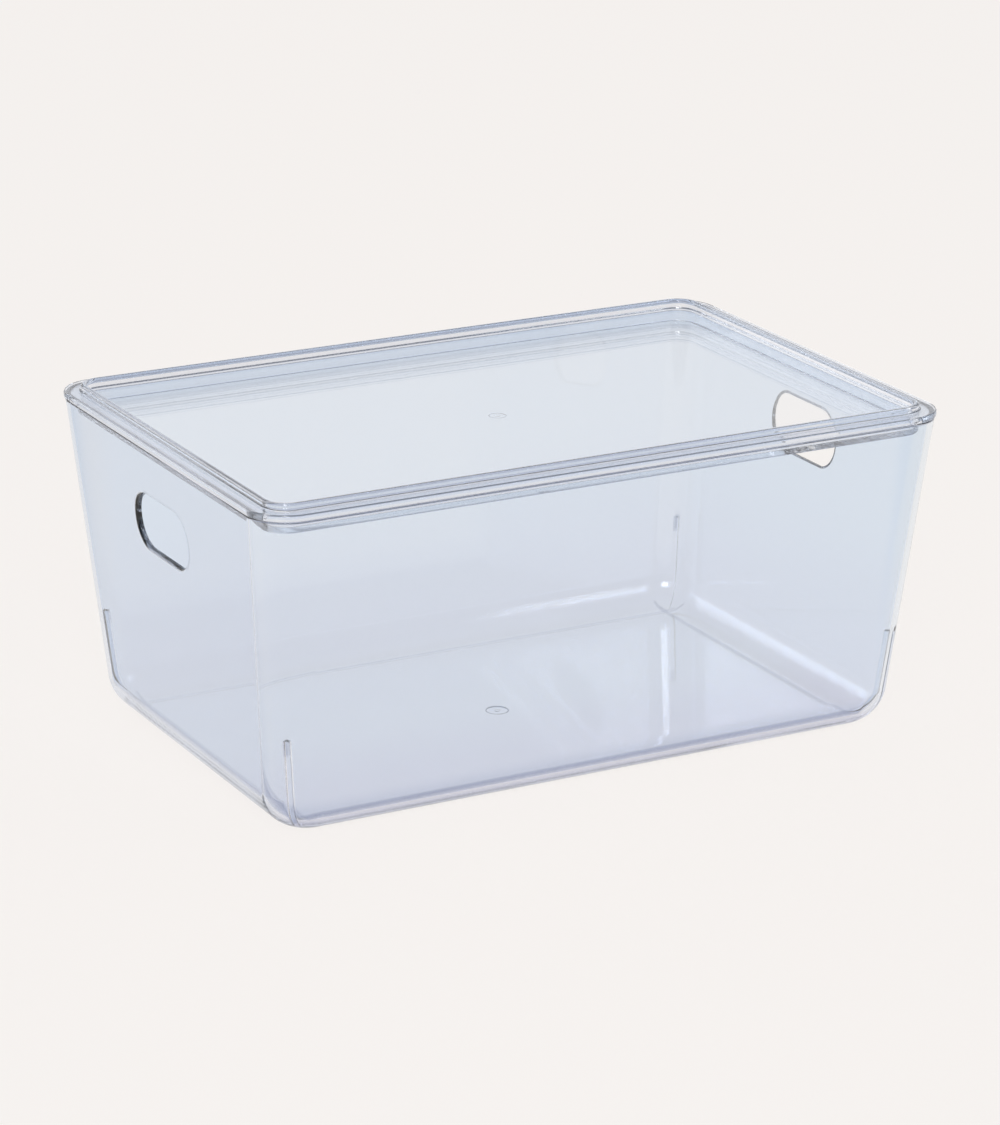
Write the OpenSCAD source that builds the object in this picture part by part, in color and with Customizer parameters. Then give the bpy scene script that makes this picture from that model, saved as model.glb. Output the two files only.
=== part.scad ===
// Lidded storage bin for a refrigerator shelf: a tapered clear tub with a hand
// slot in each end wall, and a lift-off lid with a raised stacking rim.
// X runs along the length, Y across, Z up. The origin is the middle of the
// footprint, on the surface that the bin stands on.

/* [Tub] */
// Length of the tub over its rim
tub_l = 318.9; // [260:0.1:380]
// Width of the tub over its rim
tub_w = 213.3; // [170:0.1:260]
// Height of the tub without its lid
tub_h = 140.3; // [110:0.1:180]
// How far each end wall moves out over the height
draft_x = 12.6; // [6:0.1:18]
// How far each side wall moves out over the height
draft_y = 13.1; // [6:0.1:18]
// Thickness of the walls
wall = 2.5; // [1.8:0.1:3.5]
// Thickness of the floor
floor_t = 3.0; // [2:0.1:4]
// Outer radius of the upright corners at the rim
corner_top = 17.6; // [12:0.1:24]
// Outer radius of the upright corners, where their lines meet the ground
corner_foot = 19.6; // [18:0.1:26]
// Outer radius of the turn from wall to floor
foot_round = 16.4; // [8:0.1:17]
// Rounding of the rim's two edges
rim_round = 0.8; // [0.3:0.1:0.9]

/* [Hand slots] */
// Length of each hand slot
slot_l = 50.4; // [40:0.1:80]
// Height of each hand slot
slot_h = 23.6; // [18:0.1:32]
// Corner radius of each hand slot
slot_r = 11.4; // [4:0.1:15.9]
// Height of the slot's middle above the ground
slot_z = 107.4; // [60:0.1:112]
// Rounding of the slot's outer edge, which widens the slot outwards
slot_flare = 1.7; // [0.4:0.1:2.2]

/* [Nesting ribs] */
// Width of the rib in each inner corner
rib_w = 2.2; // [1.6:0.1:4]
// How far each rib stands out from the corner
rib_out = 2.5; // [1.5:0.1:4]
// Height of the flat top of each rib, where a nested bin stops
rib_top = 43.7; // [30:0.1:70]

/* [Lid] */
// Length of the lid over its flange
lid_l = 320; // [260:0.1:384]
// Width of the lid over its flange
lid_w = 214.4; // [170:0.1:264]
// Corner radius of the flange
lid_corner = 18; // [14:0.1:24]
// Thickness of the flange that sits on the tub's rim
flange_t = 3.0; // [2:0.1:4]
// How far the raised rim is set in from the flange's edge
rim_in = 7.2; // [5:0.1:9]
// Width of the raised rim
rim_w = 2.8; // [2:0.1:3.6]
// Height of the raised rim above the flange
rim_up = 2.6; // [1.6:0.1:5]
// Height of the recessed panel's underside above the ground, measured down from the tub's rim
plug_down = 6.4; // [4:0.1:8]
// Thickness of the recessed panel
panel_t = 2.1; // [1.6:0.1:3]

/* [Gate marks] */
// Diameter of the round recess under the floor
gate_d = 10; // [6:0.5:14]
// Depth of that recess
gate_deep = 0.6; // [0.3:0.1:1]
// Diameter of the round recess under the lid's panel
lid_gate_d = 7.5; // [5:0.5:12]
// Depth of that recess
lid_gate_deep = 0.4; // [0.2:0.1:0.6]
// Diameter of the stub left in each recess
stub_d = 2.4; // [1:0.1:3]

/* [Hidden] */

corner_steps = 8;      // facets round each upright corner, an even number so that each rib straddles an edge
round_steps = 7;       // facets round the large foot radius
edge_steps = 3;        // facets round each small edge radius
slope_x = draft_x / tub_h;
slope_y = draft_y / tub_h;
foot_a = tub_l / 2 - draft_x;   // half sizes of the wall lines at the ground
foot_b = tub_w / 2 - draft_y;
corner_slope = (corner_top - corner_foot) / tub_h;
inner_round = foot_round - wall;
lid_top = tub_h + flange_t + rim_up;
rim_edge = min(1.35, rim_w / 2 - 0.05);   // rounding of the raised rim's top
panel_low = tub_h - plug_down;
panel_top = panel_low + panel_t;

// One closed outline: a rounded rectangle of half sizes a and b, at height z
function outline(a, b, r, z) = [
    for (q = [0:3]) for (k = [0:corner_steps])
        let (t = 90 * (q + k / corner_steps),
             sx = (q == 0 || q == 3) ? 1 : -1,
             sy = (q < 2) ? 1 : -1)
        [sx * (a - r) + r * cos(t), sy * (b - r) + r * sin(t), z]
];

// Tub outline, set in by d from the outer wall line at height z
function tub_outline(d, z) = outline(
    foot_a + slope_x * z - d,
    foot_b + slope_y * z - d,
    max(corner_foot + corner_slope * z - d, 0.4), z);

// Lid outline, set in by d from the flange's edge
function lid_outline(d, z) = outline(lid_l / 2 - d, lid_w / 2 - d, max(lid_corner - d, 0.4), z);

// Quarter turn of n steps about [d, z], from angle t0 by dt, as [set-in, height] pairs
function turn(d, z, r, t0, dt, n) = [for (k = [0:n]) let (t = t0 + dt * k / n) [d + r * cos(t), z + r * sin(t)]];

// Closed solid skinned over a list of outlines, first one facing down, last one facing up
module skinned(rings) {
    n = len(rings[0]);
    m = len(rings);
    points = [for (r = rings) for (p = r) p];
    sides = [
        for (i = [0:m - 2]) for (k = [0:n - 1])
            let (a = i * n + k, b = i * n + (k + 1) % n)
            each [[a, a + n, b + n], [a, b + n, b]]
    ];
    first = [[for (k = [0:n - 1]) k]];
    last = [[for (k = [n - 1:-1:0]) (m - 1) * n + k]];
    polyhedron(points = points, faces = concat(first, sides, last));
}

// Outer skin up, over the rim, and down the inside, as [set-in, height] pairs
tub_section = concat(
    [for (k = [0:round_steps]) let (t = 90 * k / round_steps)
        [foot_round * (1 - sin(t)), foot_round * (1 - cos(t))]],
    turn(rim_round, tub_h - rim_round, rim_round, 180, -90, edge_steps),
    turn(wall - rim_round, tub_h - rim_round, rim_round, 90, -90, edge_steps),
    [for (k = [round_steps:-1:0]) let (t = 90 * k / round_steps)
        [wall + inner_round * (1 - sin(t)), floor_t + inner_round * (1 - cos(t))]]
);

// Underside, plug wall, flange, raised rim and recessed panel, as [set-in, height] pairs
lid_section = concat(
    turn(rim_in + 0.8, panel_low + 0.8, 0.8, 270, -90, edge_steps),
    [[rim_in, tub_h]],
    turn(0.8, tub_h + 0.8, 0.8, 270, -90, edge_steps),
    turn(0.8, tub_h + flange_t - 0.8, 0.8, 180, -90, edge_steps),
    turn(rim_in - 0.9, tub_h + flange_t + 0.9, 0.9, 270, 90, edge_steps),
    turn(rim_in + rim_edge, lid_top - rim_edge, rim_edge, 180, -90, edge_steps + 1),
    turn(rim_in + rim_w - rim_edge, lid_top - rim_edge, rim_edge, 90, -90, edge_steps + 1),
    turn(rim_in + rim_w + 0.8, panel_top + 0.8, 0.8, 180, 90, edge_steps)
);

// One closed outline of a hand slot, grown by off, sunk by depth below the outside of the +X wall
function slot_ring(off, depth) = [
    for (q = [0:3]) for (k = [0:corner_steps])
        let (t = 90 * (q + k / corner_steps),
             sy = (q == 0 || q == 3) ? 1 : -1,
             sz = (q < 2) ? 1 : -1,
             y = sy * (slot_l / 2 - slot_r) + (slot_r + off) * cos(t),
             z = slot_z + sz * (slot_h / 2 - slot_r) + (slot_r + off) * sin(t))
        [foot_a + slope_x * z - depth, y, z]
];

// Cutter for the hand slot in the +X wall: straight from the inside, then rounded out to the outer edge
module hand_slot() {
    skinned(concat(
        [slot_ring(0, wall + 8), slot_ring(0, slot_flare)],
        [for (k = [1:4]) let (t = 90 * (4 - k) / 4)
            slot_ring(slot_flare * (1 - sin(t)), slot_flare * (1 - cos(t)))],
        [slot_ring(slot_flare, -6)]));
}

module hand_slots() {
    hand_slot();
    rotate([0, 0, 180]) hand_slot();
}

// Distance out along a corner's diagonal of a surface set in by d, at height z
function diagonal(d, z) =
    z * norm([slope_x - corner_slope, slope_y - corner_slope])
    + corner_foot + corner_slope * z - d;

// Point on an arc about the inner foot turn's centre, out by the turn's radius less lift, at angle t
function foot_arc(t, lift) = let (r = inner_round - lift) [
    diagonal(wall + inner_round - r * sin(t), floor_t + inner_round - r * cos(t)),
    floor_t + inner_round - r * cos(t)];

// One rib up the middle of an inner corner: it grows out of the floor, follows the foot turn, and ends in a flat top
module nesting_rib() {
    front = [for (k = [0:8]) let (t = 90 * k / 8) foot_arc(t, rib_out * sin(t) - 0.3 * cos(t))];
    back = [for (k = [8:-2:0]) foot_arc(90 * k / 8, -wall / 2)];
    rotate([90, 0, 0])
        linear_extrude(height = rib_w, center = true)
            polygon(concat(
                front,
                [[diagonal(wall + rib_out, rib_top), rib_top],
                 [diagonal(wall / 2, rib_top), rib_top]],
                back));
}

module nesting_ribs() {
    for (sx = [-1, 1]) for (sy = [-1, 1])
        translate([sx * (foot_a - corner_foot), sy * (foot_b - corner_foot), 0])
            rotate([0, 0, atan2(sy, sx)])
                nesting_rib();
}

// Round recess with a short stub in it, cut upward from height z
module gate_mark(d, deep, z) {
    difference() {
        translate([0, 0, z - 1]) cylinder(d = d, h = deep + 1, $fn = 64);
        translate([0, 0, z + deep * 0.3]) cylinder(d = stub_d, h = deep + 2, $fn = 32);
    }
}

module bin() {
    color([0.80, 0.85, 0.92, 0.35])
        difference() {
            union() {
                skinned([for (p = tub_section) tub_outline(p[0], p[1])]);
                nesting_ribs();
            }
            hand_slots();
            gate_mark(gate_d, gate_deep, 0);
        }
}

module lid() {
    color([0.80, 0.85, 0.92, 0.35])
        difference() {
            skinned([for (p = lid_section) lid_outline(p[0], p[1])]);
            gate_mark(lid_gate_d, lid_gate_deep, panel_low);
        }
}

bin();
lid();
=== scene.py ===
"""Looks of a clear lidded refrigerator bin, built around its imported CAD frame."""

import math

import bpy
import numpy as np
from mathutils import Matrix, Vector
from mathutils.geometry import tessellate_polygon


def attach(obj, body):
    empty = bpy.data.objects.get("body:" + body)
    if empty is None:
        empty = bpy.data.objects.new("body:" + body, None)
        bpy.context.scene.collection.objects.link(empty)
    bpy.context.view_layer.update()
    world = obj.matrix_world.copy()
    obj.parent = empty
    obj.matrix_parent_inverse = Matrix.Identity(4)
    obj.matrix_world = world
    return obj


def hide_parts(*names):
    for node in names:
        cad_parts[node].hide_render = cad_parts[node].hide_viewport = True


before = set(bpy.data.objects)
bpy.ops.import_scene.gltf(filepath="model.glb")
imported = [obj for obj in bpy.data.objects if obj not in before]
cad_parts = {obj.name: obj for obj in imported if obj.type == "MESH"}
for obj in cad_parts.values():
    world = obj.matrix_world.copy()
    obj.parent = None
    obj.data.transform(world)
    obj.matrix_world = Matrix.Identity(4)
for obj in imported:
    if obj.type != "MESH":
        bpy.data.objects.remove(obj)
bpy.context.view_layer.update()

MM = 0.001

# ---------------------------------------------------------------- camera
CAM_AZ, CAM_EL, CAM_ROLL = (math.radians(v) for v in (-28.429, 18.582, 0.307))
cam_at = Vector((-0.80755, -1.49470, 0.64075))
back = Vector((math.sin(CAM_AZ) * math.cos(CAM_EL), -math.cos(CAM_AZ) * math.cos(CAM_EL), math.sin(CAM_EL)))
right = Vector((math.cos(CAM_AZ), math.sin(CAM_AZ), 0))
up = back.cross(right)
right2 = right * math.cos(CAM_ROLL) + up * math.sin(CAM_ROLL)
up2 = -right * math.sin(CAM_ROLL) + up * math.cos(CAM_ROLL)
cam_data = bpy.data.cameras.new("camera")
cam_data.sensor_width = 36     # on the long side
cam_data.lens = 133.28
cam_data.clip_start = 0.05
cam_data.clip_end = 40
cam = bpy.data.objects.new("camera", cam_data)
bpy.context.scene.collection.objects.link(cam)
m = Matrix((right2, up2, back)).transposed().to_4x4()
m.translation = cam_at
cam.matrix_world = m
bpy.context.scene.camera = cam

# ---------------------------------------------------------------- tub numbers, in mm, as in the CAD
TUB_L, TUB_W, TUB_H = 318.9, 213.3, 140.3
DRAFT_X, DRAFT_Y = 12.6, 13.1
WALL, FLOOR_T = 2.5, 3.0
CORNER_TOP, CORNER_FOOT = 17.6, 19.6
FOOT_R = 16.4
SLOT_L, SLOT_H, SLOT_R, SLOT_Z = 50.4, 23.6, 11.4, 107.4
SLOT_OUT, SLOT_IN = 1.7, 0.35     # rounding of the slot's outer and inner edge
RIB_W, RIB_OUT, RIB_TOP = 2.2, 2.5, 43.7
LID_L, LID_W, LID_R = 320.0, 214.4, 18.0
PANEL_LOW, PANEL_TOP, LID_TOP = 133.9, 136.0, 145.9
GAP = 0.04     # air between the tub's rim and the lid's flange

SX, SY = DRAFT_X / TUB_H, DRAFT_Y / TUB_H
FA, FB = TUB_L / 2 - DRAFT_X, TUB_W / 2 - DRAFT_Y
CS = (CORNER_TOP - CORNER_FOOT) / TUB_H
INNER_R = FOOT_R - WALL


class Shell:
    """Points with their own normals, and faces that are turned to match them."""

    def __init__(self):
        self.v, self.n, self.f = [], [], []

    def add(self, p, n):
        n = np.array(n, float)
        self.v.append(tuple(float(c) for c in p))
        self.n.append(tuple(n / np.linalg.norm(n)))
        return len(self.v) - 1

    def strip(self, a, b, closed=True):
        k = len(a)
        for i in range(k if closed else k - 1):
            j = (i + 1) % k
            self.f.append((a[i], a[j], b[j], b[i]))

    def fill(self, loops, flat):
        """Flat face with holes: loops are index lists, flat turns a point into two numbers."""
        ids = [i for loop in loops for i in loop]
        tris = tessellate_polygon([[Vector((*flat(self.v[i]), 0)) for i in loop] for loop in loops])
        for t in tris:
            self.f.append(tuple(ids[i] for i in t))

    def mesh(self, name):
        v, n = np.array(self.v), np.array(self.n)
        faces = []
        for f in self.f:
            p = v[list(f)]
            g = np.zeros(3)
            for i in range(1, len(f) - 1):
                g += np.cross(p[i] - p[0], p[i + 1] - p[0])
            faces.append(f if g @ n[list(f)].mean(0) > 0 else f[::-1])
        me = bpy.data.meshes.new(name)
        me.from_pydata([tuple(c * MM for c in p) for p in self.v], [], faces)
        me.shade_smooth()
        me.normals_split_custom_set_from_vertices([tuple(c) for c in self.n])
        me.update()
        ob = bpy.data.objects.new(name, me)
        bpy.context.scene.collection.objects.link(ob)
        return ob


def arc(d, z, r, a0, a1, n):
    """(set-in, height, their derivatives) along an arc about (d, z)."""
    s = 1 if a1 > a0 else -1
    out = []
    for k in range(n + 1):
        a = math.radians(a0 + (a1 - a0) * k / n)
        out.append((d + r * math.cos(a), z + r * math.sin(a), -s * math.sin(a), s * math.cos(a)))
    return out


# Sideways places across a nesting rib, and how far out each stands as a share of the whole
RIB_COLS = [(-1.62, 0), (-1.42, 0.02), (-1.31, 0.10), (-1.27, 0.3), (-1.2, 0.75), (-1.13, 0.88), (-1.0, 0.96), (-0.82, 0.995), (-0.6, 1.0)]
RIB_COLS = RIB_COLS + [(0.0, 1.0)] + [(-v, q) for v, q in RIB_COLS[::-1]]
RIB_COLS = [(v * RIB_W / 2.4, q) for v, q in RIB_COLS]
ARC_N = 11


def ring(d, z, dd, dz, p, full=True):
    """Points and normals of one outline of the tub, with the ribs standing out by p."""
    R = CORNER_FOOT + CS * z - d
    cx = FA - CORNER_FOOT + (SX - CS) * z
    cy = FB - CORNER_FOOT + (SY - CS) * z
    pts = []
    for q in range(4):
        sx = 1 if q in (0, 3) else -1
        sy = 1 if q < 2 else -1
        mid = math.radians(45 + 90 * q)
        edge = math.asin(RIB_COLS[-1][0] / R)
        start, end = mid - math.pi / 4, mid + math.pi / 4
        cols = [(start + (mid - edge - start) * k / ARC_N, 0) for k in range(ARC_N)]
        cols += [(mid + math.asin(v / R), h) for v, h in RIB_COLS]
        cols += [(mid + edge + (end - mid - edge) * (k + 1) / ARC_N, 0) for k in range(ARC_N)]
        for th, h in cols:
            e = (math.cos(th), math.sin(th))
            te = abs(e[0]) * (SX - CS) * dz + abs(e[1]) * (SY - CS) * dz + CS * dz - dd
            pts.append((
                (sx * cx + R * e[0] - h * p * math.cos(mid), sy * cy + R * e[1] - h * p * math.sin(mid), z),
                (e[0] * dz, e[1] * dz, -te),
                h))
    return pts


def build_tub():
    s = Shell()
    top = TUB_H - GAP
    rows = []      # set-in, height, derivatives, rib
    n = 20
    for k in range(n + 1):
        t = math.pi / 2 * k / n
        rows.append((FOOT_R * (1 - math.sin(t)), FOOT_R * (1 - math.cos(t)), -math.cos(t), math.sin(t), 0))
    za, zb = 70.0, top - 0.8
    rows.append((0, za, 0, 1, 0))
    outer_a = len(rows) - 1
    rows += [r + (0,) for r in arc(0.8, zb, 0.8, 180, 90, 6)]
    rows += [r + (0,) for r in arc(WALL - 0.8, zb, 0.8, 90, 0, 6)]
    inner_b = len(rows) - 1
    rows.append((WALL, za, 0, -1, 0))
    rows.append((WALL, RIB_TOP + 3, 0, -1, 0))
    rows.append((WALL, RIB_TOP + 0.25, 0, -1, 0.0))
    rows.append((WALL, RIB_TOP + 0.10, 0, -1, 0.05))
    rows.append((WALL, RIB_TOP + 0.02, 0, -1, 0.2))
    rows.append((WALL, RIB_TOP, 0, -1, RIB_OUT - 0.55))
    for a in (30, 60, 90):
        t = math.radians(a)
        rows.append((WALL, RIB_TOP - 0.45 * (1 - math.cos(t)), 0, -1, RIB_OUT - 0.45 * (1 - math.sin(t))))
    rows.append((WALL, 32, 0, -1, RIB_OUT))
    for k in range(n, -1, -1):
        t = math.pi / 2 * k / n
        rows.append((WALL + INNER_R * (1 - math.sin(t)), FLOOR_T + INNER_R * (1 - math.cos(t)), math.cos(t), -math.sin(t), RIB_OUT * math.sin(t)))
    grid = [ring(*r) for r in rows]
    P = np.array([[c[0] for c in r] for r in grid])
    N = np.array([[np.array(c[1]) / np.linalg.norm(c[1]) for c in r] for r in grid])
    H = np.array([[c[2] for c in r] for r in grid])
    M = P.shape[1]
    # ribs: normals from the faces round each point
    fn = np.cross(np.roll(P, -1, 1)[:-1] - P[1:], P[1:] - P[:-1])
    fn2 = np.cross(np.roll(P, -1, 1)[:-1] - P[:-1], np.roll(P, -1, 1)[1:] - P[:-1])
    area = fn2 * 0.5
    unit = area / np.maximum(np.linalg.norm(area, axis=2, keepdims=True), 1e-12)
    for i in range(1, len(rows) - 1):
        if max(rows[i][4], rows[i - 1][4], rows[i + 1][4]) < 1e-6:
            continue
        for k in range(M):
            if H[i, k] > 0 or H[i, (k + 1) % M] > 0 or H[i, k - 1] > 0:
                g = unit[i - 1, k] + unit[i, k] + unit[i - 1, k - 1] + unit[i, k - 1]
                N[i, k] = g / np.linalg.norm(g)
    ids = [[s.add(P[i, k], N[i, k]) for k in range(M)] for i in range(len(rows))]
    per = M // 4
    # columns on each side of the two end walls: +X wall between the last and the first column, -X wall between corners 1 and 2
    gaps = {1: (M - 1, 0), -1: (2 * per - 1, 2 * per)}
    skip = {(outer_a, gaps[1][0]), (outer_a, gaps[-1][0]), (inner_b, gaps[1][0]), (inner_b, gaps[-1][0])}
    for i in range(len(rows) - 1):
        for k in range(M):
            if (i, k) in skip:
                continue
            j = (k + 1) % M
            s.f.append((ids[i][k], ids[i][j], ids[i + 1][j], ids[i + 1][k]))
    # end walls with their hand slots
    outline = []
    nq = 12
    for q in range(4):
        oy = (SLOT_L / 2 - SLOT_R) * (1 if q in (0, 3) else -1)
        oz = (SLOT_H / 2 - SLOT_R) * (1 if q < 2 else -1)
        for k in range(nq + 1):
            a = math.radians(90 * (q + k / nq))
            outline.append((oy + SLOT_R * math.cos(a), oz + SLOT_R * math.sin(a), math.cos(a), math.sin(a)))
    for side in (1, -1):
        prof = []     # off, depth, derivative of both
        for k in range(13):
            t = math.pi / 2 * k / 12
            prof.append((SLOT_OUT * (1 - math.sin(t)), SLOT_OUT * (1 - math.cos(t)), -math.cos(t), math.sin(t)))
        for k in range(6, -1, -1):
            t = math.pi / 2 * k / 6
            prof.append((SLOT_IN * (1 - math.sin(t)), WALL - SLOT_IN * (1 - math.cos(t)), math.cos(t), math.sin(t)))
        loops = []
        for off, dep, doff, ddep in prof:
            loop = []
            for y, z, ny, nz in outline:
                zz = SLOT_Z + z + off * nz
                p = (side * (FA + SX * zz - dep), y + off * ny, zz)
                ds = np.array((side * SX * ny, -nz, ny))
                dt = np.array((side * (SX * doff * nz - ddep), doff * ny, doff * nz))
                g = np.cross(ds, dt)
                want = np.array((side * -doff, -ddep * ny, -ddep * nz))
                loop.append(s.add(p, g if g @ want > 0 else -g))
            loops.append(loop)
        for a, b in zip(loops, loops[1:]):
            s.strip(a, b)
        c0, c1 = gaps[side]
        for rowa, loop in ((outer_a, loops[0]), (inner_b, loops[-1])):
            quad = [ids[rowa][c0], ids[rowa][c1], ids[rowa + 1][c1], ids[rowa + 1][c0]]
            s.fill([quad, loop], lambda p: (p[1], p[2]))
    # underside, with the gate recess, and the floor
    s.fill([ids[0], lathe_recess(s, 5.0, 0.6, 0.0)], lambda p: (p[0], p[1]))
    s.f.append(tuple(ids[-1]))
    return s.mesh("bin_clear_tub")


def lathe_recess(s, r, deep, z):
    """A round recess with a short stub in it, looking down. Gives the loop on its edge."""
    c = min(0.12, deep * 0.3)
    prof = [(r + c, 0, 0, -1), (r + 0.3 * c, 0.3 * c, -0.7, -0.7), (r, c, -1, 0), (r, deep - c, -1, 0), (r - 0.3 * c, deep - 0.3 * c, -0.7, -0.7), (r - c, deep, 0, -1),
            (1.2 + c, deep, 0, -1), (1.2 + 0.3 * c, deep - 0.3 * c, 0.7, -0.7), (1.2, deep - c, 1, 0), (1.2, deep * 0.3 + 0.5 * c, 1, 0), (1.2 - 0.5 * c, deep * 0.3, 0, -1)]
    n = 64
    loops = []
    for pr, pz, nr, nz in prof:
        loops.append([s.add((pr * math.cos(a), pr * math.sin(a), z + pz), (nr * math.cos(a), nr * math.sin(a), nz)) for a in (2 * math.pi * k / n for k in range(n))])
    for a, b in zip(loops, loops[1:]):
        s.strip(a, b)
    s.f.append(tuple(loops[-1]))
    return loops[0]


def build_lid():
    s = Shell()
    rows = arc(8.0, PANEL_LOW + 0.8, 0.8, 270, 180, 6)
    rows += arc(6.8, TUB_H - 0.4, 0.4, 0, 90, 4)
    rows += arc(0.8, TUB_H + 0.8, 0.8, 270, 180, 6)
    rows += arc(0.8, TUB_H + 3.0 - 0.8, 0.8, 180, 90, 6)
    rows += arc(6.3, TUB_H + 3.9, 0.9, 270, 360, 7)
    rows += arc(8.55, LID_TOP - 1.35, 1.35, 180, 90, 9)
    rows += arc(8.65, LID_TOP - 1.35, 1.35, 90, 0, 9)
    rows += arc(10.8, PANEL_TOP + 0.8, 0.8, 180, 270, 6)
    ids = []
    n = 20
    for d, z, dd, dz in rows:
        R = LID_R - d
        loop = []
        for q in range(4):
            sx = 1 if q in (0, 3) else -1
            sy = 1 if q < 2 else -1
            for k in range(n + 1):
                a = math.radians(90 * (q + k / n))
                e = (math.cos(a), math.sin(a))
                loop.append(s.add((sx * (LID_L / 2 - LID_R) + R * e[0], sy * (LID_W / 2 - LID_R) + R * e[1], z), (e[0] * dz, e[1] * dz, dd)))
        ids.append(loop)
    for a, b in zip(ids, ids[1:]):
        s.strip(a, b)
    s.fill([ids[0], lathe_recess(s, 3.75, 0.4, PANEL_LOW)], lambda p: (p[0], p[1]))
    s.f.append(tuple(ids[-1]))
    return s.mesh("lid_clear_cover")


# ---------------------------------------------------------------- materials
def node(nt, kind, x=0, y=0, **values):
    nd = nt.nodes.new(kind)
    nd.location = (x, y)
    for k, v in values.items():
        setattr(nd, k, v)
    return nd


def math_node(nt, op, a, b=None, clamp=False):
    nd = node(nt, "ShaderNodeMath", operation=op, use_clamp=clamp)
    for i, v in enumerate((a, b)):
        if v is None:
            continue
        if isinstance(v, (int, float)):
            nd.inputs[i].default_value = v
        else:
            nt.links.new(v, nd.inputs[i])
    return nd.outputs[0]


def step_node(nt, value, lo, hi):
    nd = node(nt, "ShaderNodeMapRange", interpolation_type="SMOOTHSTEP")
    nd.inputs["From Min"].default_value = lo
    nd.inputs["From Max"].default_value = hi
    nt.links.new(value, nd.inputs["Value"])
    return nd.outputs[0]


def ramp_node(nt, value, stops):
    nd = node(nt, "ShaderNodeValToRGB")
    el = nd.color_ramp.elements
    el[0].position, el[0].color = stops[0][0], (*stops[0][1], 1)
    el[1].position, el[1].color = stops[-1][0], (*stops[-1][1], 1)
    for pos, c in stops[1:-1]:
        el.new(pos).color = (*c, 1)
    nt.links.new(value, nd.inputs[0])
    return nd.outputs[0]


def mix_node(nt, fac, a, b, blend="MIX"):
    nd = node(nt, "ShaderNodeMix", data_type="RGBA", blend_type=blend)
    for i, v in (("Factor", fac), (6, a), (7, b)):
        if isinstance(v, tuple):
            nd.inputs[i].default_value = (*v, 1)
        elif isinstance(v, (int, float)):
            nd.inputs[i].default_value = v
        else:
            nt.links.new(v, nd.inputs[i])
    return nd.outputs[2]


def fall_node(nt, value, lo, hi):
    return math_node(nt, "SUBTRACT", 1.0, step_node(nt, value, lo, hi))


# darkens c towards the colour by where fac is high; used only for painted shade
def darken_with_painted_shade(nt, fac, c, by):
    return mix_node(nt, fac, c, mix_node(nt, 1.0, c, by, "MULTIPLY"))


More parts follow.
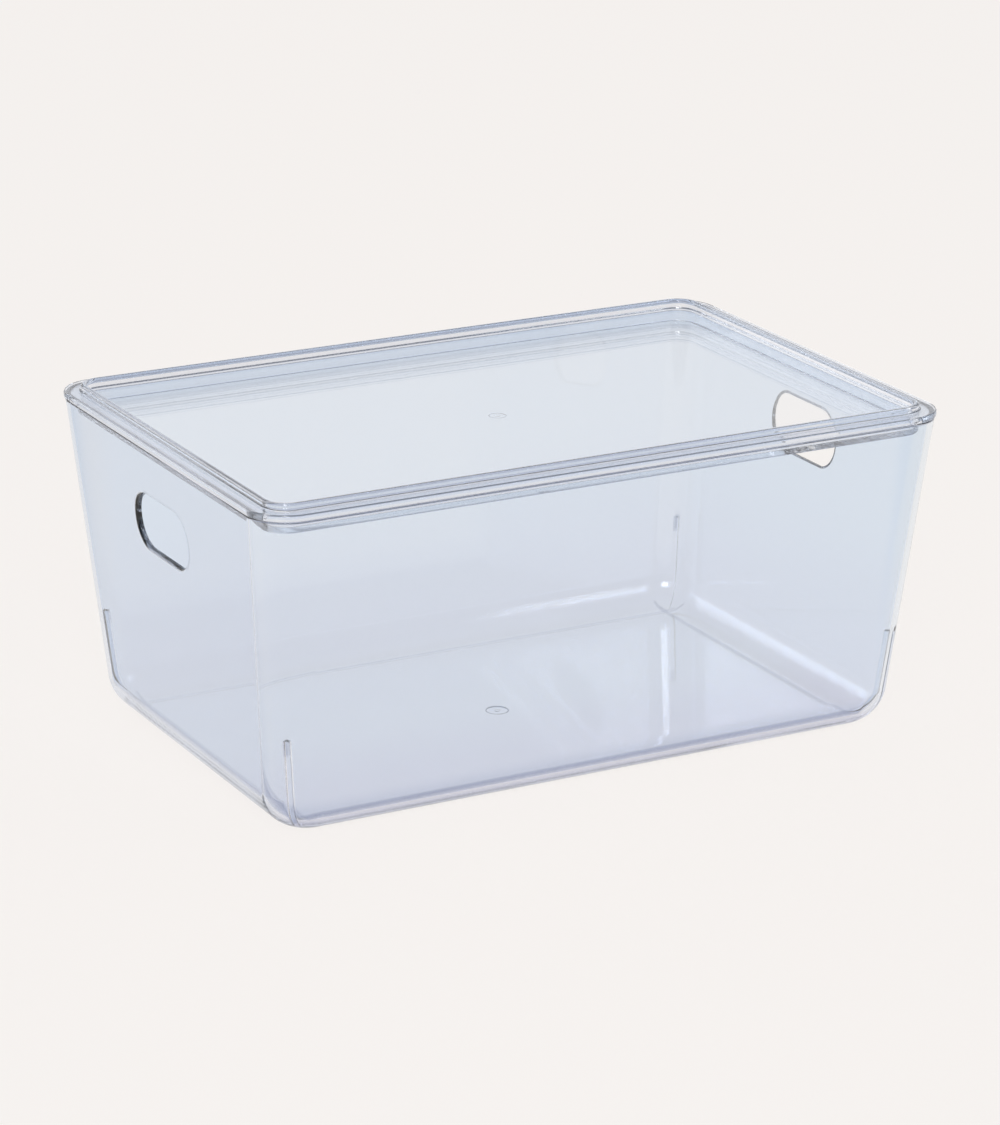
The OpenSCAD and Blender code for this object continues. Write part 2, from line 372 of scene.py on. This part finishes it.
def bin_tint_and_painted_shade(nt, pos, noise):
    """Cool tinge of the tub, with painted shade: clearest in the walls next to the front left corner, painted deepest
    in the far walls and low down for the walls and shaded floor seen through them.
    """
    x, y, z = pos
    f = math_node(nt, "ADD", step_node(nt, x, 0.13, 0.145), step_node(nt, y, 0.075, 0.09))
    f = math_node(nt, "SUBTRACT", f, step_node(nt, math_node(nt, "MULTIPLY", x, -1.0), 0.13, 0.145))
    f = math_node(nt, "SUBTRACT", f, step_node(nt, math_node(nt, "MULTIPLY", y, -1.0), 0.075, 0.09))
    f = math_node(nt, "ADD", math_node(nt, "MULTIPLY", f, 0.5), 0.5, True)
    low = ramp_node(nt, f, ((0, (0.993, 0.995, 0.993)), (0.5, (0.812, 0.872, 0.955)), (1, (0.720, 0.792, 0.930))))
    high = ramp_node(nt, f, ((0, (0.993, 0.996, 0.993)), (0.5, (0.860, 0.912, 0.962)), (1, (0.748, 0.844, 0.962))))
    rise = step_node(nt, z, 0.0, 0.10)
    c = mix_node(nt, math_node(nt, "ADD", rise, noise, True), low, high)
    # painted shade: the left end wall is a little darker than the front one, up to the corner between them
    left = step_node(nt, math_node(nt, "MULTIPLY", x, -1.0), 0.130, 0.145)
    nearer = step_node(nt, math_node(nt, "SUBTRACT", y, x), 0.0625, 0.0705)
    c = darken_with_painted_shade(nt, math_node(nt, "MULTIPLY", left, nearer), c, (0.875, 0.905, 0.955))
    # painted shade: the front of the floor is darker, and so is the turn from the near walls to the floor
    c = darken_with_painted_shade(nt, math_node(nt, "MULTIPLY", step_node(nt, math_node(nt, "MULTIPLY", y, -1.0), -0.02, 0.06), fall_node(nt, z, 0.004, 0.010)), c, (0.945, 0.92, 0.955))
    near = math_node(nt, "SUBTRACT", 1.0, f)
    c = darken_with_painted_shade(nt, math_node(nt, "MULTIPLY", fall_node(nt, z, 0.008, 0.019), near), c, (0.80, 0.835, 0.905))
    # painted shade: a dark line low on the turn of the near walls into the floor
    c = darken_with_painted_shade(nt, math_node(nt, "MULTIPLY", fall_node(nt, z, 0.0026, 0.0060), step_node(nt, near, 0.5, 0.56)), c, (0.45, 0.48, 0.60))
    # painted shade: faint dark lines where the floor starts to turn up into the walls
    flat = fall_node(nt, z, 0.0034, 0.0044)
    for v, at in ((math_node(nt, "ABSOLUTE", y), 0.0772), (math_node(nt, "ABSOLUTE", x), 0.1305)):
        floor_turn_shade = math_node(nt, "MULTIPLY", step_node(nt, v, at - 0.0012, at - 0.0004), fall_node(nt, v, at + 0.0003, at + 0.0012))
        c = darken_with_painted_shade(nt, math_node(nt, "MULTIPLY", floor_turn_shade, flat), c, (0.72, 0.74, 0.80))
    # painted shade: a dark ring on the edge of the gate's round recess under the floor
    r = math_node(nt, "SQRT", math_node(nt, "ADD", math_node(nt, "MULTIPLY", x, x), math_node(nt, "MULTIPLY", y, y)))
    gate_ring_shade = math_node(nt, "MULTIPLY", step_node(nt, r, 0.0043, 0.0048), fall_node(nt, r, 0.0050, 0.0053))
    c = darken_with_painted_shade(nt, math_node(nt, "MULTIPLY", gate_ring_shade, fall_node(nt, z, 0.0008, 0.0012)), c, (0.42, 0.45, 0.54))
    # painted shade: dark bands at the heads of the corner ribs
    ribs = math_node(nt, "SUBTRACT", math_node(nt, "ABSOLUTE", x), math_node(nt, "ABSOLUTE", y))
    ribs = fall_node(nt, math_node(nt, "ABSOLUTE", math_node(nt, "SUBTRACT", ribs, 0.05315)), 0.0012, 0.0017)
    head = math_node(nt, "MULTIPLY", step_node(nt, z, 0.0370, 0.0378), fall_node(nt, z, 0.0436, 0.0440))
    c = darken_with_painted_shade(nt, math_node(nt, "MULTIPLY", ribs, head), c, (0.72, 0.74, 0.80))
    # painted shadow: the rim, where the lid rests, is painted dark for the shadow gap under the lid's flange
    return mix_node(nt, step_node(nt, z, 0.1390, 0.1397), c, BIN_RIM_PAINTED_SHADOW)


def lid_tint_and_painted_shade(nt, pos, noise):
    """The lid's panel is clear, and its thicker rim gathers a lavender colour; painted shade darkens the gate recess's
    edge and the plug's lower edge.
    """
    x, y, z = pos
    ax, ay = math_node(nt, "ABSOLUTE", x), math_node(nt, "ABSOLUTE", y)
    f = math_node(nt, "MAXIMUM", step_node(nt, ax, 0.1475, 0.1497), step_node(nt, ay, 0.0947, 0.0969))
    panel = mix_node(nt, math_node(nt, "ADD", noise, 0.5, True), (0.982, 0.988, 0.995), (0.992, 0.995, 1.0))
    r = math_node(nt, "SQRT", math_node(nt, "ADD", math_node(nt, "MULTIPLY", x, x), math_node(nt, "MULTIPLY", y, y)))
    # painted shade: a grey ring on the edge of the gate's round recess in the panel
    gate_ring_shade = math_node(nt, "MULTIPLY", step_node(nt, r, 0.0031, 0.0035), fall_node(nt, r, 0.0038, 0.0040))
    panel = darken_with_painted_shade(nt, math_node(nt, "MULTIPLY", gate_ring_shade, fall_node(nt, z, 0.1345, 0.1350)), panel, (0.78, 0.80, 0.85))
    # the plug under the flange is thin, so paler than the flange and the raised rim
    rim = mix_node(nt, step_node(nt, z, 0.1388, 0.1400), (0.95, 0.96, 0.985), LID_RIM)
    # painted shade: a dark line on the lower edge of the plug
    low = math_node(nt, "MAXIMUM", step_node(nt, ax, 0.1514, 0.1519), step_node(nt, ay, 0.0986, 0.0991))
    rim = mix_node(nt, math_node(nt, "MULTIPLY", low, fall_node(nt, z, 0.1344, 0.1350)), rim, (0.42, 0.45, 0.55))
    return mix_node(nt, f, panel, rim)


# painted shadow: dark colour of the tub's rim under the lid's flange
BIN_RIM_PAINTED_SHADOW = (0.34, 0.36, 0.44)
LID_RIM = (0.86, 0.885, 0.935)


def clear_plastic(name, tint_and_painted_shade, density, seed):
    mat = bpy.data.materials.new(name)
    mat.use_nodes = True
    nt = mat.node_tree
    nt.nodes.clear()
    out = node(nt, "ShaderNodeOutputMaterial", 600)
    bsdf = node(nt, "ShaderNodeBsdfPrincipled", 300)
    bsdf.inputs["Transmission Weight"].default_value = 1
    bsdf.inputs["IOR"].default_value = 1.53
    nt.links.new(bsdf.outputs[0], out.inputs["Surface"])
    co = node(nt, "ShaderNodeTexCoord", -1100)
    sep = node(nt, "ShaderNodeSeparateXYZ", -650, 600)
    nt.links.new(co.outputs["Object"], sep.inputs[0])
    cloud = node(nt, "ShaderNodeTexNoise", -650, 900)
    cloud.inputs["Scale"].default_value = 11
    cloud.inputs["Detail"].default_value = 2
    nt.links.new(co.outputs["Object"], cloud.inputs["Vector"])
    uneven = math_node(nt, "MULTIPLY", math_node(nt, "SUBTRACT", cloud.outputs["Fac"], 0.5), 0.3)
    # base colour of the plastic together with its painted shade
    nt.links.new(tint_and_painted_shade(nt, (sep.outputs["X"], sep.outputs["Y"], sep.outputs["Z"]), uneven), bsdf.inputs["Base Color"])
    shift = node(nt, "ShaderNodeMapping", -900)
    shift.inputs["Location"].default_value = (seed, seed * 0.7, seed * 1.3)
    nt.links.new(co.outputs["Object"], shift.inputs["Vector"])
    # smudges: broad, soft change of gloss
    smudge = node(nt, "ShaderNodeTexNoise", -650, 200)
    smudge.inputs["Scale"].default_value = 14
    smudge.inputs["Detail"].default_value = 4
    smudge.inputs["Roughness"].default_value = 0.6
    nt.links.new(shift.outputs[0], smudge.inputs["Vector"])
    # fine handling scratches: a stretched, fine noise
    stretch = node(nt, "ShaderNodeMapping", -900, -300)
    stretch.inputs["Rotation"].default_value = (0.5, 0.9, 0.7)
    stretch.inputs["Scale"].default_value = (40, 900, 900)
    nt.links.new(co.outputs["Object"], stretch.inputs["Vector"])
    scratch = node(nt, "ShaderNodeTexNoise", -650, -300)
    scratch.inputs["Scale"].default_value = 1
    scratch.inputs["Detail"].default_value = 2
    nt.links.new(stretch.outputs[0], scratch.inputs["Vector"])
    sharp = node(nt, "ShaderNodeMapRange", -400, -300)
    sharp.inputs["From Min"].default_value = 0.66
    sharp.inputs["From Max"].default_value = 0.78
    sharp.inputs["To Min"].default_value = 0.0
    sharp.inputs["To Max"].default_value = 0.02
    nt.links.new(scratch.outputs["Fac"], sharp.inputs["Value"])
    gloss = node(nt, "ShaderNodeMapRange", -400, 200)
    gloss.inputs["From Min"].default_value = 0.35
    gloss.inputs["From Max"].default_value = 0.75
    gloss.inputs["To Min"].default_value = 0.008
    gloss.inputs["To Max"].default_value = 0.024
    nt.links.new(smudge.outputs["Fac"], gloss.inputs["Value"])
    add = node(nt, "ShaderNodeMath", -150, 50, operation="ADD")
    nt.links.new(gloss.outputs[0], add.inputs[0])
    nt.links.new(sharp.outputs[0], add.inputs[1])
    nt.links.new(add.outputs[0], bsdf.inputs["Roughness"])
    # the moulding's faint waves
    wave = node(nt, "ShaderNodeTexNoise", -650, -700)
    wave.inputs["Scale"].default_value = 9
    wave.inputs["Detail"].default_value = 1
    nt.links.new(shift.outputs[0], wave.inputs["Vector"])
    bump = node(nt, "ShaderNodeBump", 0, -500)
    bump.inputs["Strength"].default_value = 0.35
    bump.inputs["Distance"].default_value = 0.00045
    nt.links.new(wave.outputs["Fac"], bump.inputs["Height"])
    nt.links.new(bump.outputs[0], bsdf.inputs["Normal"])
    vol = node(nt, "ShaderNodeVolumeAbsorption", 300, -500)
    vol.inputs["Color"].default_value = (0.80, 0.85, 0.90, 1)
    vol.inputs["Density"].default_value = density
    nt.links.new(vol.outputs[0], out.inputs["Volume"])
    return mat


def floor_material():
    mat = bpy.data.materials.new("studio_floor")
    mat.use_nodes = True
    nt = mat.node_tree
    nt.nodes.clear()
    out = node(nt, "ShaderNodeOutputMaterial", 600)
    dif = node(nt, "ShaderNodeBsdfDiffuse", 0)
    dif.inputs["Color"].default_value = (0.10, 0.097, 0.094, 1)
    emi = node(nt, "ShaderNodeEmission", 0, -200)
    emi.inputs["Color"].default_value = (0.913, 0.880, 0.855, 1)
    emi.inputs["Strength"].default_value = FLOOR_GLOW
    add = node(nt, "ShaderNodeAddShader", 300)
    nt.links.new(dif.outputs[0], add.inputs[0])
    nt.links.new(emi.outputs[0], add.inputs[1])
    nt.links.new(add.outputs[0], out.inputs["Surface"])
    return mat


FLOOR_GLOW = 0.958

tub = build_tub()
lid = build_lid()
tub.data.materials.append(clear_plastic("clear_bin_plastic", bin_tint_and_painted_shade, 2.0, 0.31))
lid.data.materials.append(clear_plastic("clear_lid_plastic", lid_tint_and_painted_shade, 2.0, 0.77))
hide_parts("bin")
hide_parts("lid")
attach(tub, "tub")
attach(lid, "lid")

# ---------------------------------------------------------------- floor and light
me = bpy.data.meshes.new("floor")
s = 5.0
me.from_pydata([(-s, -s, -0.0004), (s, -s, -0.0004), (s, s, -0.0004), (-s, s, -0.0004)], [], [(0, 1, 2, 3)])
floor = bpy.data.objects.new("floor", me)
floor.data.materials.append(floor_material())
bpy.context.scene.collection.objects.link(floor)


def softbox(name, az, el, dist, w, h, power, target=(0, 0, 0.07), color=(1, 1, 1)):
    """Area light in the direction az from +Y towards +X and el up, facing the object."""
    a, e = math.radians(az), math.radians(el)
    t = Vector(target)
    at = t + dist * Vector((math.sin(a) * math.cos(e), math.cos(a) * math.cos(e), math.sin(e)))
    data = bpy.data.lights.new(name, "AREA")
    data.shape = "RECTANGLE"
    data.size, data.size_y = w, h
    data.energy = power
    data.color = color
    ob = bpy.data.objects.new(name, data)
    ob.location = at
    ob.rotation_euler = (t - at).to_track_quat("-Z", "Y").to_euler()
    bpy.context.scene.collection.objects.link(ob)
    return ob


softbox("key", -151, 36, 3.0, 1.0, 0.85, 25)
softbox("side", 128, 34, 3.0, 1.2, 0.8, 6)
softbox("rear", -29, 22, 3.0, 0.6, 0.7, 1.2)

world = bpy.data.worlds.new("studio")
bpy.context.scene.world = world
world.use_nodes = True
nt = world.node_tree
nt.nodes.clear()
out = node(nt, "ShaderNodeOutputWorld", 600)
bg = node(nt, "ShaderNodeBackground", 400)
co = node(nt, "ShaderNodeTexCoord", -800)
sep = node(nt, "ShaderNodeSeparateXYZ", -600)
nt.links.new(co.outputs["Generated"], sep.inputs[0])
# how far the direction points away from the camera, and how high
ahead = node(nt, "ShaderNodeVectorMath", -600, -200, operation="DOT_PRODUCT")
ahead.inputs[1].default_value = (math.sin(math.radians(28.4)), math.cos(math.radians(28.4)), 0)
nt.links.new(co.outputs["Generated"], ahead.inputs[0])
ramp = node(nt, "ShaderNodeValToRGB", -350, 100)
el = ramp.color_ramp.elements
el[0].position, el[0].color = 0.0, (0.88, 0.86, 0.85, 1)
el[1].position, el[1].color = 1.0, (0.20, 0.215, 0.25, 1)
for pos, c in ((0.12, (0.88, 0.86, 0.85)), (0.35, (0.84, 0.845, 0.86)), (0.62, (0.29, 0.32, 0.39))):
    x = el.new(pos)
    x.color = (*c, 1)
nt.links.new(sep.outputs["Z"], ramp.inputs[0])
ramp2 = node(nt, "ShaderNodeValToRGB", -350, -200)
el = ramp2.color_ramp.elements
el[0].position, el[0].color = 0.25, (0.125, 0.13, 0.18, 1)
el[1].position, el[1].color = 0.65, (1, 1, 1, 1)
half = node(nt, "ShaderNodeMath", -480, -200, operation="MULTIPLY_ADD")
half.inputs[1].default_value = 0.5
half.inputs[2].default_value = 0.5
nt.links.new(ahead.outputs["Value"], half.inputs[0])
nt.links.new(half.outputs[0], ramp2.inputs[0])
mix = node(nt, "ShaderNodeMix", 0, 0, data_type="RGBA", blend_type="MULTIPLY")
mix.inputs["Factor"].default_value = 1
nt.links.new(ramp.outputs[0], mix.inputs[6])
nt.links.new(ramp2.outputs[0], mix.inputs[7])
nt.links.new(mix.outputs[2], bg.inputs["Color"])
bg.inputs["Strength"].default_value = 1.0
nt.links.new(bg.outputs[0], out.inputs[0])

sc = bpy.context.scene
sc.view_settings.view_transform = "Standard"
sc.view_settings.look = "None"
sc.view_settings.exposure = 0
sc.view_settings.gamma = 1
sc.cycles.max_bounces = 80     # light runs a long way inside the thin panels
sc.cycles.transmission_bounces = 40
sc.cycles.glossy_bounces = 72
sc.cycles.transparent_max_bounces = 16
sc.cycles.volume_bounces = 0
sc.cycles.blur_glossy = 0
